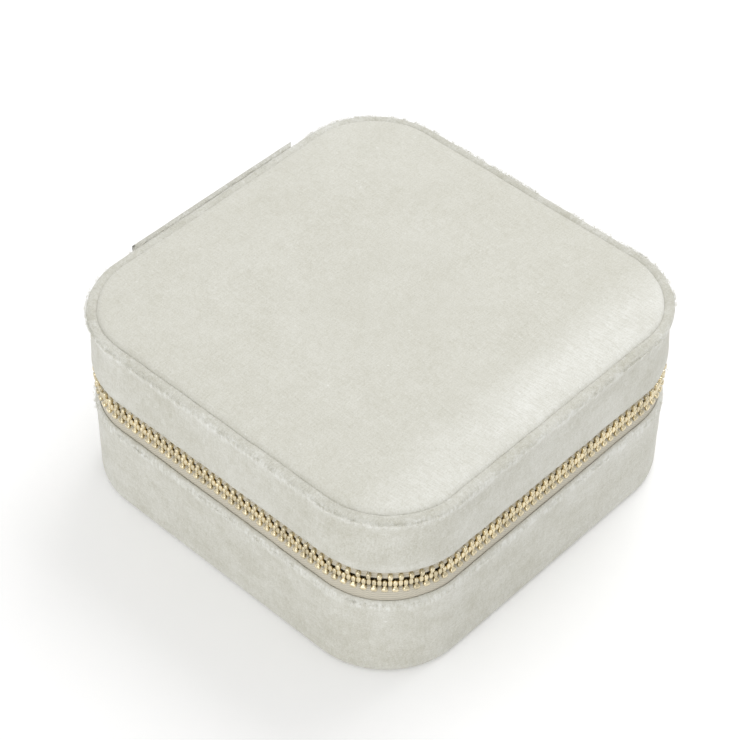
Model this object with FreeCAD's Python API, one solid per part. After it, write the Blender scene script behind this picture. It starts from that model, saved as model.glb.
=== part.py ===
import FreeCAD, Part
import math
import os
from FreeCAD import Vector

# Travel jewelry box: a square case with round corners, covered in velvet, whose lid is hinged on a
# cloth strip at the back and closed by a metal zip round the other sides.
# Millimetres. Origin at the centre of the underside, +Z up, -Y to the front, +Y to the hinge.
# An inset is a distance inwards from the outer velvet face, the same on all four sides.

# ---- driving dimensions: the case ----
WIDTH = 100.0            # across X, over the velvet
DEPTH = 100.0            # across Y, over the velvet
CORNER_RADIUS = 20.0     # plan radius of the outer corners
ZIP_HEIGHT = 28.0        # middle of the zip chain above the table
RIM_HEIGHT = 47.2        # top of the rolled rim round the lid panel
CROWN_HEIGHT = 49.5      # top of the padded lid panel

# ---- layers of a wall, from outside to inside ----
VELVET = 1.2             # velvet on its backing cloth
TAPE = 0.6               # woven zip tape, and the hinge lining in the same layer
TEETH_DEPTH = 2.2        # a tooth measured through the wall
WALL = 2.45              # greyboard wall of each tray
COLLAR = 1.3             # card collar inside the wall
LINING = 0.75            # velvet lining inside the collar
GLUE = 0.05              # glue line between nested layers
FLOOR = 2.0              # greyboard floor of the base, and top of the lid

# ---- zip ----
CHAIN_WIDTH = 5.0        # across both rows of teeth
TOOTH_PITCH = 2.08       # from tooth to tooth in one row
TOOTH_LEG = 1.16         # width of the part that grips the tape
TOOTH_HEAD = 0.84        # width of the part that meshes
TOOTH_OVERLAP = 1.6      # how far the two rows reach past each other
TOOTH_GRIP = 1.2         # how deep the tape sits in a tooth
TOOTH_GAP = 0.2          # between a head and the legs opposite
GRIP_PLAY = 0.03         # each side of the tape in a tooth
TOOTH_CHAMFER = 0.28
TAPE_TUCK = 8.5          # how far each tape is glued down behind the velvet
BASE_LEDGE = 5.0         # from the middle of the zip down to the base velvet
LID_LEDGE = 3.5          # from the middle of the zip up to the lid velvet
WALL_STANDOFF = 0.3      # how far a wall stops short of its velvet edge
COLLAR_GAP = 0.4         # between the two collars when shut
CHAIN_STOP_Y = 24.0      # where the teeth end on the right side, under the slider

# ---- slider and pull ----
SLIDER_Y = 24.5          # middle of the slider when the zip is shut
SLIDER_LENGTH = 9.0
SLIDER_PLATE = 0.7
SLIDER_FLANGE = 0.5
SLIDER_PLAY = 0.15       # between the slider's plates or flanges and the teeth
LIP_PLAY = 0.05          # between the flanges' lips and the faces of the teeth
SLIDER_CORNER = 0.9
WEDGE_WIDTH = 2.2        # the wedge that parts the two rows
WEDGE_TIP = 0.6          # its tip, in front of the middle of the slider
WEDGE_SHOULDER = 2.2
WEDGE_HEEL = 4.3
CROWN_LENGTH = 6.8
CROWN_BAND = 0.8         # thickness of the crown's strap
CROWN_WIDTH = 2.0
CROWN_ROOM = 1.35        # clear height of the tunnel under the crown
PULL_WIRE = 1.1          # crossbar diameter and tab thickness
PULL_WIDTH = 4.7
PULL_LENGTH = 20.0       # from the crossbar to the far end
PULL_EYE = 4.4           # from the crossbar to the far side of the eye
PULL_PLAY = 0.25         # each side of the crown in the eye
STOP_LENGTH = 1.6        # an end stop, measured along the tape
STOP_HEIGHT = 1.3
STOP_WALL = 0.5
STOP_CLEARANCE = 0.3     # from the slider or the hinge strip to a stop

# ---- hinge ----
STRIP_WIDTH = 49.0
STRIP_THICKNESS = 1.6
STRIP_TOP = 46.3
STRIP_BOTTOM = 9.5
STRIP_EDGE = 0.5
LINING_OVERHANG = 1.0    # how much wider the inner hinge cloth is than the strip, each side

# ---- lid panel and underside ----
SEAM_INSET = 2.6         # where the rolled rim ends
SEAM_GAP = 0.2           # seam between the rim and the panel
RIM_ROLL = 1.2
EDGE_ROLL = 0.5
PANEL_BOARD = 1.2
PANEL_ROUND = 1.9
UNDERSIDE = 1.2          # thickness of the bottom panel
UNDERSIDE_LIFT = 0.3     # how far the turned-under velvet stays off the table
UNDERSIDE_ROLL = 0.8
PANEL_EASE = 0.3

# ---- fittings inside ----
MIRROR_SIZE = 70.0
MIRROR_THICKNESS = 1.6
MIRROR_RADIUS = 6.0
MIRROR_LIP = 2.0         # how far the frame laps over the glass
MIRROR_PLAY = 0.1
FRAME_LIP = 0.8          # thickness of the frame in front of the glass
FRAME_PLAY = 0.2         # frame to lining, all round
FRAME_EASE = 0.3
ROLL_COUNT = 6
ROLL_GAP = 0.6           # between two ring rolls
ROLL_HEIGHT = 15.5
PARTITION = 2.0          # wall between the ring rolls and the compartments
PARTITION_HEIGHT = 16.0
DIVIDER = 2.0
DIVIDER_HEIGHT = 16.0
DIVIDER_PLAY = 0.5       # at each end of a loose divider
CARD_EASE = 0.4          # rounding of wrapped card edges
PAD_PLAY = 0.1           # between a ring roll and what is beside it

# ---- sizes that follow from those above ----
TAPE_OUTER = VELVET
TAPE_INNER = TAPE_OUTER + TAPE
TEETH_MIDDLE = (TAPE_OUTER + TAPE_INNER) / 2
SHELL_INNER = VELVET + WALL
COLLAR_OUTER = SHELL_INNER + GLUE
COLLAR_INNER = COLLAR_OUTER + COLLAR
LINING_OUTER = COLLAR_INNER + GLUE
LINING_INNER = LINING_OUTER + LINING
BASE_EDGE = ZIP_HEIGHT - BASE_LEDGE
LID_EDGE = ZIP_HEIGHT + LID_LEDGE
BASE_WALL_TOP = BASE_EDGE - WALL_STANDOFF
LID_WALL_BOTTOM = LID_EDGE + WALL_STANDOFF
BASE_LIP = ZIP_HEIGHT - COLLAR_GAP / 2
LID_LIP = ZIP_HEIGHT + COLLAR_GAP / 2
FLOOR_TOP = UNDERSIDE + FLOOR
TRAY_FLOOR = FLOOR_TOP + LINING
LID_TOP = RIM_HEIGHT - RIM_ROLL - 0.4
LID_CEILING = LID_TOP - FLOOR
LINED_CEILING = LID_CEILING - LINING
PANEL_INSET = SEAM_INSET + SEAM_GAP
CHAIN_HALF = CHAIN_WIDTH / 2
HEAD_TIP = TOOTH_OVERLAP / 2
CHANNEL_HALF = TEETH_DEPTH / 2 + SLIDER_PLAY
SLIDER_HALF = CHAIN_HALF + SLIDER_PLAY + SLIDER_FLANGE
PARTITION_X = 0.0        # middle of the partition


def half_sizes(inset):
    """Half width, half depth and corner radius of the plan outline at an inset."""
    return WIDTH / 2 - inset, DEPTH / 2 - inset, max(CORNER_RADIUS - inset, 0.5)


def plan_wire(half_x, half_y, radius, z):
    """A rectangle with round corners, centred on the Z axis."""
    straight_x = half_x - radius
    straight_y = half_y - radius
    corners = ((1, 1, 0), (-1, 1, 90), (-1, -1, 180), (1, -1, 270))
    arcs = []
    for side_x, side_y, start in corners:
        centre = Vector(side_x * straight_x, side_y * straight_y, z)
        points = []
        for turn in (0, 45, 90):
            angle = math.radians(start + turn)
            points.append(centre + Vector(radius * math.cos(angle), radius * math.sin(angle), 0))
        arcs.append(points)
    edges = []
    for number, points in enumerate(arcs):
        edges.append(Part.Arc(*points).toShape())
        following = arcs[(number + 1) % len(arcs)]
        edges.append(Part.LineSegment(points[2], following[0]).toShape())
    return Part.Wire(edges)


def block(inset, low, high):
    """The case's plan outline at an inset, raised from low to high."""
    face = Part.Face(plan_wire(*half_sizes(inset), low))
    return face.extrude(Vector(0, 0, high - low))


def ring(outer, inner, low, high):
    """What lies between two insets, from low to high."""
    return block(outer, low, high).cut(block(inner, low, high))


def slab(half_x, half_y, radius, low, high):
    """A plate with round corners, centred on the Z axis."""
    face = Part.Face(plan_wire(half_x, half_y, radius, low))
    return face.extrude(Vector(0, 0, high - low))


def box(x, y, z):
    """A box from three (low, high) pairs."""
    return Part.makeBox(x[1] - x[0], y[1] - y[0], z[1] - z[0], Vector(x[0], y[0], z[0]))


def plan_edges(shape, z, inset):
    """The edges of a shape that lie at one height along the plan outline at one inset."""
    half_x, half_y, radius = half_sizes(inset)
    found = []
    for edge in shape.Edges:
        bounds = edge.BoundBox
        if abs(bounds.ZMin - z) > 1e-4 or abs(bounds.ZMax - z) > 1e-4:
            continue
        middle = edge.valueAt((edge.FirstParameter + edge.LastParameter) / 2)
        past_x = abs(middle.x) - (half_x - radius)
        past_y = abs(middle.y) - (half_y - radius)
        if past_x > 0 and past_y > 0:
            offset = math.hypot(past_x, past_y) - radius
        else:
            offset = max(past_x, past_y) - radius
        if abs(offset) < 1e-3:
            found.append(edge)
    return found


def rolled(shape, z, inset, radius):
    """The shape with its edge at that height and inset rounded."""
    return shape.makeFillet(radius, plan_edges(shape, z, inset))


# ---- the zip's path, seen from above, along the middle of the teeth ----

def chain_path():
    """Straight runs and arcs from the hinge strip, round the left and the front, to the right side.

    Each run is (length, function from a distance along it to a point and a direction)."""
    half_x, half_y, radius = half_sizes(TEETH_MIDDLE)
    centre_x = half_x - radius
    centre_y = half_y - radius
    start_x = -(STRIP_WIDTH / 2 + LINING_OVERHANG + STOP_CLEARANCE + STOP_LENGTH)

    def straight(start, end):
        step = (end - start).normalize()
        return (end - start).Length, lambda s: (start + step * s, step)

    def corner(middle, start_degrees):
        def place(s):
            angle = math.radians(start_degrees) + s / radius
            outward = Vector(math.cos(angle), math.sin(angle), 0)
            return middle + outward * radius, Vector(-outward.y, outward.x, 0)
        return radius * math.pi / 2, place

    return [
        straight(Vector(start_x, half_y, 0), Vector(-centre_x, half_y, 0)),
        corner(Vector(-centre_x, centre_y, 0), 90),
        straight(Vector(-half_x, centre_y, 0), Vector(-half_x, -centre_y, 0)),
        corner(Vector(-centre_x, -centre_y, 0), 180),
        straight(Vector(-centre_x, -half_y, 0), Vector(centre_x, -half_y, 0)),
        corner(Vector(centre_x, -centre_y, 0), 270),
        straight(Vector(half_x, -centre_y, 0), Vector(half_x, CHAIN_STOP_Y, 0)),
    ]


def on_path(runs, distance):
    """The point and direction at a distance along the chain, and the number of the run."""
    for number, (length, place) in enumerate(runs):
        if distance <= length or number == len(runs) - 1:
            point, direction = place(distance)
            return point, direction, number
        distance -= length


def tooth():
    """One tooth of the lower row: X along the chain, Y through the wall, Z up from the zip's middle."""
    leg = TOOTH_LEG / 2
    head = TOOTH_HEAD / 2
    neck = -HEAD_TIP - TOOTH_GAP
    low = -CHAIN_HALF
    tip = HEAD_TIP
    cut = TOOTH_CHAMFER
    half = [
        (leg - cut, low),
        (leg, low + cut),
        (leg, neck - cut),
        (head, neck),
        (head, tip - cut),
        (head - cut / 2, tip),
    ]
    outline = half + [(-x, z) for x, z in reversed(half)]
    points = [Vector(x, -TEETH_DEPTH / 2, z) for x, z in outline]
    face = Part.Face(Part.makePolygon(points + points[:1]))
    body = face.extrude(Vector(0, TEETH_DEPTH, 0))
    slot_half = TAPE / 2 + GRIP_PLAY
    slot = box((-leg, leg), (-slot_half, slot_half), (low, low + TOOTH_GRIP + GRIP_PLAY))
    return body.cut(slot)


def upside_down(shape):
    """The shape turned over about the X axis."""
    turned = shape.copy()
    turned.rotate(Vector(0, 0, 0), Vector(1, 0, 0), 180)
    return turned


def teeth_rows():
    """The lower and upper rows, each as (teeth on the fixed runs, teeth on the slider's run)."""
    runs = chain_path()
    total = sum(length for length, _ in runs)
    lower = ([], [])
    upper = ([], [])
    patterns = ((tooth(), lower, 0.0), (upside_down(tooth()), upper, TOOTH_PITCH / 2))
    for pattern, rows, shift in patterns:
        count = int((total - shift - TOOTH_LEG - TOOTH_GAP) / TOOTH_PITCH)
        for number in range(count + 1):
            distance = total - shift - number * TOOTH_PITCH - TOOTH_LEG / 2
            point, direction, run = on_path(runs, distance)
            placed = pattern.copy()
            angle = math.degrees(math.atan2(direction.y, direction.x))
            placed.rotate(Vector(0, 0, 0), Vector(0, 0, 1), angle)
            placed.translate(point + Vector(0, 0, ZIP_HEIGHT))
            rows[run == len(runs) - 1].append(placed)
    return lower, upper


# ---- base ----

def base_shell():
    """Greyboard tray, set back at the top where the zip tape is glued on."""
    tray = block(VELVET + GLUE, UNDERSIDE, BASE_WALL_TOP)
    tray = tray.cut(block(SHELL_INNER, FLOOR_TOP, BASE_WALL_TOP))
    rebate = ring(0, TAPE_INNER + GLUE, BASE_EDGE - TAPE_TUCK - GLUE, BASE_WALL_TOP)
    return tray.cut(rebate)


def base_collar():
    return ring(COLLAR_OUTER, COLLAR_INNER, FLOOR_TOP, BASE_LIP - LINING)


def base_lining():
    """Velvet over the floor, up the collar and over its top edge."""
    lining = block(LINING_OUTER, FLOOR_TOP, BASE_LIP)
    lining = lining.fuse(ring(COLLAR_OUTER, LINING_OUTER, BASE_LIP - LINING, BASE_LIP))
    lining = lining.cut(block(LINING_INNER, TRAY_FLOOR, BASE_LIP)).removeSplitter()
    return rolled(lining, BASE_LIP, LINING_INNER, LINING / 2)


def base_side_cover():
    """Velvet band round the base, turned under at the bottom."""
    band = block(0, UNDERSIDE_LIFT, BASE_EDGE)
    band = band.cut(block(VELVET, UNDERSIDE, BASE_EDGE))
    band = band.cut(block(SEAM_INSET, UNDERSIDE_LIFT, UNDERSIDE))
    band = rolled(band, BASE_EDGE, 0, EDGE_ROLL)
    return rolled(band, UNDERSIDE_LIFT, 0, UNDERSIDE_ROLL)


def base_bottom_panel():
    """Velvet-covered card that the box stands on."""
    return rolled(block(PANEL_INSET, 0, UNDERSIDE), 0, PANEL_INSET, PANEL_EASE)


def tape_ring(low, high):
    """The zip tape's layer all the way round, without the stretch at the back that the hinge takes."""
    whole = ring(TAPE_OUTER, TAPE_INNER, low, high)
    hinge_half = STRIP_WIDTH / 2 + LINING_OVERHANG + STOP_CLEARANCE
    return whole.cut(box((-hinge_half, hinge_half), (0, DEPTH), (low, high)))


def tape_reach():
    """How close each tape's edge comes to the middle of the zip."""
    return CHAIN_HALF - TOOTH_GRIP


def zip_tape_base():
    return tape_ring(BASE_EDGE - TAPE_TUCK, ZIP_HEIGHT - tape_reach())


def zip_tape_lid():
    return tape_ring(ZIP_HEIGHT + tape_reach(), LID_EDGE + TAPE_TUCK)


def end_stop(upper):
    """A clip pinched over one tape's edge: X along the tape, Y through the wall, Z from the middle."""
    low = -CHAIN_HALF
    outer = TAPE / 2 + GRIP_PLAY + STOP_WALL
    clip = box((-STOP_LENGTH / 2, STOP_LENGTH / 2), (-outer, outer), (low, low + STOP_HEIGHT + STOP_WALL))
    slot = TAPE / 2 + GRIP_PLAY
    clip = clip.cut(box((-STOP_LENGTH, STOP_LENGTH), (-slot, slot), (low, low + TOOTH_GRIP + GRIP_PLAY)))
    return upside_down(clip) if upper else clip


def end_stops(upper):
    """The two stops of one row: beside the hinge strip, and past the shut slider."""
    half_x, half_y, _ = half_sizes(TEETH_MIDDLE)
    beside_strip = -(STRIP_WIDTH / 2 + LINING_OVERHANG + STOP_CLEARANCE + STOP_LENGTH / 2)
    past_slider = SLIDER_Y + SLIDER_LENGTH / 2 + STOP_CLEARANCE + STOP_LENGTH / 2
    first = end_stop(upper)
    first.translate(Vector(beside_strip, half_y, ZIP_HEIGHT))
    second = end_stop(upper)
    second.rotate(Vector(0, 0, 0), Vector(0, 0, 1), 90)
    second.translate(Vector(half_x, past_slider, ZIP_HEIGHT))
    return [first, second]


def hinge_strip():
    """Outer hinge cloth, glued to the back of the base and of the lid, with both ends rounded."""
    half = STRIP_WIDTH / 2
    back = DEPTH / 2
    strip = box((-half, half), (back, back + STRIP_THICKNESS), (STRIP_BOTTOM, STRIP_TOP))
    outside = back + STRIP_THICKNESS
    ends = []
    for edge in strip.Edges:
        bounds = edge.BoundBox
        if bounds.YMin > outside - 1e-6 and bounds.ZMax - bounds.ZMin < 1e-6:
            ends.append(edge)
    return strip.makeFillet(STRIP_EDGE, ends)


def hinge_lining():
    """Cloth behind the hinge gap, in the layer that the zip tape has elsewhere."""
    half = STRIP_WIDTH / 2 + LINING_OVERHANG
    back = DEPTH / 2
    return box((-half, half), (back - TAPE_INNER, back - TAPE_OUTER), (BASE_EDGE - TAPE_TUCK, LID_EDGE + TAPE_TUCK))


# ---- lid ----

def lid_shell():
    """Greyboard lid, set back at the bottom where the zip tape is glued on."""
    tray = block(VELVET + GLUE, LID_WALL_BOTTOM, LID_TOP)
    tray = tray.cut(block(SHELL_INNER, LID_WALL_BOTTOM, LID_CEILING))
    rebate = ring(0, TAPE_INNER + GLUE, LID_WALL_BOTTOM, LID_EDGE + TAPE_TUCK + GLUE)
    return tray.cut(rebate)


def lid_collar():
    return ring(COLLAR_OUTER, COLLAR_INNER, LID_LIP + LINING, LID_CEILING)


def lid_lining():
    """Velvet over the ceiling, down the collar and under its lower edge."""
    lining = block(LINING_OUTER, LID_LIP, LID_CEILING)
    lining = lining.fuse(ring(COLLAR_OUTER, LINING_OUTER, LID_LIP, LID_LIP + LINING))
    lining = lining.cut(block(LINING_INNER, LID_LIP, LINED_CEILING)).removeSplitter()
    return rolled(lining, LID_LIP, LINING_INNER, LINING / 2)


def lid_side_cover():
    """Velvet band round the lid, rolled over the top edge as a rim round the panel."""
    band = block(0, LID_EDGE, RIM_HEIGHT)
    band = band.cut(block(VELVET, LID_EDGE, LID_TOP))
    band = band.cut(block(SEAM_INSET, LID_TOP, RIM_HEIGHT))
    band = rolled(band, LID_EDGE, 0, EDGE_ROLL)
    return rolled(band, RIM_HEIGHT, 0, RIM_ROLL)


def lid_panel_board():
    return block(PANEL_INSET, LID_TOP, LID_TOP + PANEL_BOARD)


def lid_top_panel():
    """Foam pad under velvet, rounded down to the seam."""
    pad = block(PANEL_INSET, LID_TOP + PANEL_BOARD, CROWN_HEIGHT)
    return rolled(pad, CROWN_HEIGHT, PANEL_INSET, PANEL_ROUND)


def mirror():
    half = MIRROR_SIZE / 2
    return slab(half, half, MIRROR_RADIUS, LINED_CEILING - MIRROR_THICKNESS, LINED_CEILING)


def mirror_frame():
    """Velvet-wrapped card that fills the lid's ceiling and laps over the edge of the glass."""
    glass_face = LINED_CEILING - MIRROR_THICKNESS - MIRROR_PLAY
    front = glass_face - FRAME_LIP
    inset = LINING_INNER + FRAME_PLAY
    recess = MIRROR_SIZE / 2 + MIRROR_PLAY
    window = MIRROR_SIZE / 2 - MIRROR_LIP
    frame = rolled(block(inset, front, LINED_CEILING), front, inset, FRAME_EASE)
    frame = frame.cut(slab(recess, recess, MIRROR_RADIUS + MIRROR_PLAY, glass_face, LINED_CEILING))
    return frame.cut(slab(window, window, MIRROR_RADIUS - MIRROR_LIP, front, glass_face))


# ---- fittings in the base ----

def wrapped_card(x, y, z):
    """A card wrapped in velvet, eased along its top edges."""
    card = box(x, y, z)
    top = [edge for edge in card.Edges if edge.BoundBox.ZMin > z[1] - 1e-6]
    return card.makeFillet(CARD_EASE, top)


def tray_half_depth():
    return DEPTH / 2 - LINING_INNER


def centre_partition():
    reach = tray_half_depth() - PAD_PLAY
    return wrapped_card(
        (PARTITION_X - PARTITION / 2, PARTITION_X + PARTITION / 2),
        (-reach, reach),
        (TRAY_FLOOR, TRAY_FLOOR + PARTITION_HEIGHT),
    )


def divider(middle_y):
    """A loose wall between two compartments, held by its fit between the partition and the side."""
    low_x = PARTITION_X + PARTITION / 2 + DIVIDER_PLAY
    high_x = WIDTH / 2 - LINING_INNER - DIVIDER_PLAY
    return wrapped_card(
        (low_x, high_x),
        (middle_y - DIVIDER / 2, middle_y + DIVIDER / 2),
        (TRAY_FLOOR, TRAY_FLOOR + DIVIDER_HEIGHT),
    )


def ring_roll(number):
    """One foam roll with a round top; a ring is held between two of them."""
    pitch = 2 * tray_half_depth() / ROLL_COUNT
    half = (pitch - ROLL_GAP) / 2
    middle = -tray_half_depth() + pitch * (number + 0.5)
    low_x = -(WIDTH / 2 - LINING_INNER - PAD_PLAY)
    high_x = PARTITION_X - PARTITION / 2 - PAD_PLAY
    shoulder = TRAY_FLOOR + ROLL_HEIGHT - half
    top = Vector(low_x, middle, shoulder + half)
    left = Vector(low_x, middle - half, shoulder)
    right = Vector(low_x, middle + half, shoulder)
    foot_left = Vector(low_x, middle - half, TRAY_FLOOR)
    foot_right = Vector(low_x, middle + half, TRAY_FLOOR)
    section = Part.Wire([
        Part.Arc(left, top, right).toShape(),
        Part.LineSegment(right, foot_right).toShape(),
        Part.LineSegment(foot_right, foot_left).toShape(),
        Part.LineSegment(foot_left, left).toShape(),
    ])
    roll = Part.Face(section).extrude(Vector(high_x - low_x, 0, 0))
    return roll.common(block(LINING_INNER + PAD_PLAY, 0, ZIP_HEIGHT))


# ---- slider: built with X along the travel, Y outwards, Z up, then turned onto the right side ----

def slider_plate(low_y, high_y):
    plate = slab(SLIDER_LENGTH / 2, SLIDER_HALF, SLIDER_CORNER, low_y, high_y)
    plate.rotate(Vector(0, 0, 0), Vector(1, 0, 0), -90)
    return plate


def slider_body():
    """Two plates with turned-in flanges, joined by the wedge that parts the teeth."""
    outside = CHANNEL_HALF + SLIDER_PLATE
    body = slider_plate(CHANNEL_HALF, outside).fuse(slider_plate(-outside, -CHANNEL_HALF))
    lip = TEETH_DEPTH / 2 + LIP_PLAY
    straight = SLIDER_LENGTH / 2 - SLIDER_CORNER
    flange_inner = CHAIN_HALF + SLIDER_PLAY
    for side in (-1, 1):
        across = sorted((side * flange_inner, side * SLIDER_HALF))
        body = body.fuse(box((-straight, straight), (lip, CHANNEL_HALF), across))
        body = body.fuse(box((-straight, straight), (-CHANNEL_HALF, -lip), across))
    half = WEDGE_WIDTH / 2
    outline = [
        (WEDGE_TIP, 0), (WEDGE_SHOULDER, half), (WEDGE_HEEL, half),
        (WEDGE_HEEL, -half), (WEDGE_SHOULDER, -half),
    ]
    points = [Vector(x, -CHANNEL_HALF, z) for x, z in outline]
    wedge = Part.Face(Part.makePolygon(points + points[:1])).extrude(Vector(0, 2 * CHANNEL_HALF, 0))
    return body.fuse(wedge).removeSplitter()


def slider_crown():
    """Strap over the outer plate; the pull's crossbar turns in the tunnel under it."""
    low = CHANNEL_HALF + SLIDER_PLATE
    high = low + CROWN_ROOM + CROWN_BAND
    half = CROWN_LENGTH / 2
    strap = box((-half, half), (low, high), (-CROWN_WIDTH / 2, CROWN_WIDTH / 2))
    shoulders = []
    for edge in strap.Edges:
        bounds = edge.BoundBox
        if abs(bounds.YMin - high) < 1e-6 and abs(bounds.XMax - bounds.XMin) < 1e-6:
            shoulders.append(edge)
    strap = strap.makeFillet(CROWN_BAND, shoulders)
    tunnel = box((CROWN_BAND - half, half - CROWN_BAND), (low, low + CROWN_ROOM), (-CROWN_WIDTH, CROWN_WIDTH))
    return strap.cut(tunnel)


def pull_tab():
    """Flat tab with an eye round the crown, lying back along the closed chain."""
    middle = CHANNEL_HALF + SLIDER_PLATE + CROWN_ROOM / 2
    half_width = PULL_WIDTH / 2
    half_wire = PULL_WIRE / 2
    far = -PULL_LENGTH
    plate = box((far + half_width, 0), (middle - half_wire, middle + half_wire), (-half_width, half_width))
    end = Part.makeCylinder(
        half_width, PULL_WIRE, Vector(far + half_width, middle - half_wire, 0), Vector(0, 1, 0)
    )
    bar = Part.makeCylinder(half_wire, PULL_WIDTH, Vector(0, middle, -half_width), Vector(0, 0, 1))
    eye_half = CROWN_WIDTH / 2 + PULL_PLAY
    eye = box((-PULL_EYE, 0), (0, middle + PULL_WIRE), (-eye_half, eye_half))
    return plate.fuse(end).cut(eye).fuse(bar).removeSplitter()


def on_right_side(shape):
    """A slider part moved to its place on the right side, with its nose towards the hinge."""
    placed = shape.mirror(Vector(0, 0, 0), Vector(0, 1, 0))
    placed.rotate(Vector(0, 0, 0), Vector(0, 0, 1), 90)
    placed.translate(Vector(WIDTH / 2 - TEETH_MIDDLE, SLIDER_Y, ZIP_HEIGHT))
    return placed


def all_nodes():
    """Every piece of the box by name, each as one solid or a list of separate solids."""
    lower, upper = teeth_rows()
    third = 2 * tray_half_depth() / 3
    nodes = {
        "base_shell": base_shell(),
        "base_collar": base_collar(),
        "base_lining": base_lining(),
        "base_side_cover": base_side_cover(),
        "base_bottom_panel": base_bottom_panel(),
        "zip_tape_base": zip_tape_base(),
        "zip_teeth_base": lower[0],
        "zip_teeth_base_right": lower[1],
        "zip_stops_base": end_stops(False),
        "hinge_strip": hinge_strip(),
        "hinge_lining": hinge_lining(),
        "centre_partition": centre_partition(),
        "divider_front": divider(-third / 2),
        "divider_back": divider(third / 2),
        "lid_shell": lid_shell(),
        "lid_collar": lid_collar(),
        "lid_lining": lid_lining(),
        "lid_side_cover": lid_side_cover(),
        "lid_panel_board": lid_panel_board(),
        "lid_top_panel": lid_top_panel(),
        "zip_tape_lid": zip_tape_lid(),
        "zip_teeth_lid": upper[0],
        "zip_teeth_lid_right": upper[1],
        "zip_stops_lid": end_stops(True),
        "mirror": mirror(),
        "mirror_frame": mirror_frame(),
        "slider_body": on_right_side(slider_body()),
        "slider_crown": on_right_side(slider_crown()),
        "pull_tab": on_right_side(pull_tab()),
    }
    for number in range(ROLL_COUNT):
        nodes[f"ring_roll_{number + 1}"] = ring_roll(number)
    return nodes


def main():
    os.makedirs("parts", exist_ok=True)
    for name, made in all_nodes().items():
        pieces = made if isinstance(made, list) else [made]
        solids = [solid for piece in pieces for solid in piece.Solids]
        shape = solids[0] if len(solids) == 1 else Part.makeCompound(solids)
        shape.exportStep(f"parts/{name}.step")
        volume = sum(solid.Volume for solid in solids)
        print(f"{name}: {len(solids)} solid(s), {volume:.1f} mm3, valid {shape.isValid()}")


main()
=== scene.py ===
import math
import random

import bmesh
import bpy
from bpy.props import FloatProperty, FloatVectorProperty, PointerProperty
from mathutils import Matrix, Vector, noise


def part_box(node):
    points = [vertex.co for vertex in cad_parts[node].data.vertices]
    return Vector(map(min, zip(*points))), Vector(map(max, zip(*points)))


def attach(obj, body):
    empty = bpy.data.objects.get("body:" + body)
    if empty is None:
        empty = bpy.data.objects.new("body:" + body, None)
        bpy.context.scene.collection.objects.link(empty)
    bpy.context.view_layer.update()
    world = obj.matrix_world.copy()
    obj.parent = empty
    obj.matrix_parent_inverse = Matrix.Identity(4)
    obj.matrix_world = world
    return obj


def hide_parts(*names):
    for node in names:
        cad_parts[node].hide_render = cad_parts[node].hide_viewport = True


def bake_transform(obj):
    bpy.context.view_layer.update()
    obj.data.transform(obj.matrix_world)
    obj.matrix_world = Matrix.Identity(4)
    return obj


bl_info = {
    "name": "Travel Jewelry Box",
    "version": (1, 0, 0),
    "blender": (4, 5, 0),
    "location": "3D View > Sidebar > Jewelry Box",
    "description": "Velvet, zip, padding and fittings of a square zip-around travel jewelry box",
    "category": "Object",
}

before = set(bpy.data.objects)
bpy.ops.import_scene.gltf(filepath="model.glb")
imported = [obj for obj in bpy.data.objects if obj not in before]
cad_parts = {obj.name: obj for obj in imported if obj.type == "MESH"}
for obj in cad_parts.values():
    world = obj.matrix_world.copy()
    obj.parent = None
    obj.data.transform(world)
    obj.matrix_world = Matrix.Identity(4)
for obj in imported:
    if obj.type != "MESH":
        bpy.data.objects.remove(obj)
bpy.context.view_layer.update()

MM = 0.001
# The case, in millimetres, as the frame has it.
HALF = 50.0
CORNER = 20.0
ZIP_Z = 28.0
CHAIN_INSET = 1.5
# The zip, in millimetres: tooth pitch, half a leg's width, the gap beside a head, and where it ends.
TOOTH_PITCH = 2.08
LEG_HALF = 0.58
TOOTH_GAP = 0.2
STOP_LENGTH = 1.6
CHAIN_STOP_Y = 24.0
ZIP_END_X = 25.8
# Camera: place in metres, then azimuth, elevation and roll in degrees.
CAMERA_PLACE = (-0.26868, -0.24580, 0.39291)
CAMERA_ANGLES = (-46.542, 44.586, 0.183)
LENS_LENGTH = 115.54
LENS_SHIFT = (0.0262, -0.0336)
# Insets further in than this are reached by shrinking the outline towards the middle.
LAST_INSET = 13.0


# ---------------------------------------------------------------- plan outline and lofts

def run_lengths():
    """Lengths of the nine runs of the zip's outline, from the middle of the back round by the left."""
    side = HALF - CORNER
    arc = (CORNER - CHAIN_INSET) * math.pi / 2
    return [side, arc, 2 * side, arc, 2 * side, arc, 2 * side, arc, side]


LOOP_LENGTH = sum(run_lengths())


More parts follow.
